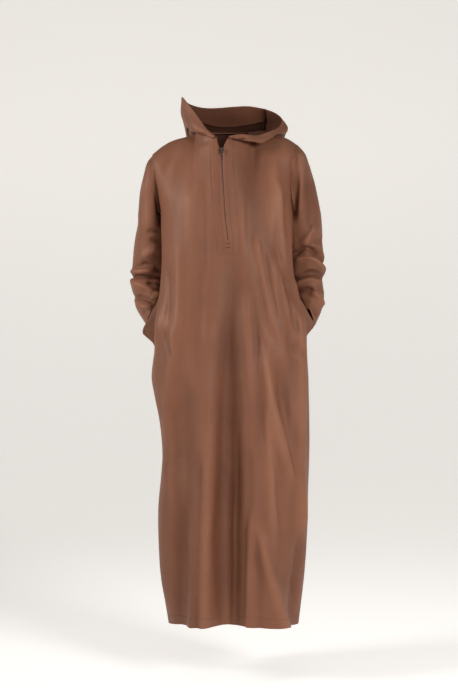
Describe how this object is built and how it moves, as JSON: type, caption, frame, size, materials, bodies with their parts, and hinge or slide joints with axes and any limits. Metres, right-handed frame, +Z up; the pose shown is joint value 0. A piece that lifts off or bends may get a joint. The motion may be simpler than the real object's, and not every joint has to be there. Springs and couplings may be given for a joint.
{
  "type": "hooded thobe",
  "caption": "Long hooded pullover robe in its worn, filled-out form, sleeve ends at the side pockets, with a short front zip whose pull tab turns.",
  "frame": {"origin": "between the two shoulder seams, level with the base of the neck: where the wearer's shoulders carry the garment", "axes": "+Z up from hem to hood, -Y to the front, +X to the wearer's left"},
  "size_m": [0.5007, 0.3123, 1.3162],
  "materials": {
    "cloth": "smooth mid-brown twill with a soft sheen",
    "bag_cloth": "thin plain brown pocket cloth",
    "zip_tape": "dark brown woven zip tape",
    "zip_chain": "dark brown moulded zip teeth",
    "zip_metal": "dark polished metal slider and pull tab"
  },
  "bodies": {
    "garment": {"front_panel": "cloth", "back_panel": "cloth", "sleeve_right": "cloth", "sleeve_left": "cloth", "hood_right_panel": "cloth", "hood_left_panel": "cloth", "pocket_bag_right": "bag_cloth", "pocket_bag_left": "bag_cloth", "zip_tape_right": "zip_tape", "zip_tape_left": "zip_tape", "zip_chain": "zip_chain", "zip_slider": "zip_metal"},
    "zip_pull": {"zip_pull_tab": "zip_metal"}
  },
  "joints": [
    {"name": "pull_tab_lift", "type": "hinge", "parent": "garment", "child": "zip_pull", "pos_m": [-0.01556, -0.09612, -0.04191], "axis": [-1, 0, 0], "range_deg": [0, 150]}
  ]
}
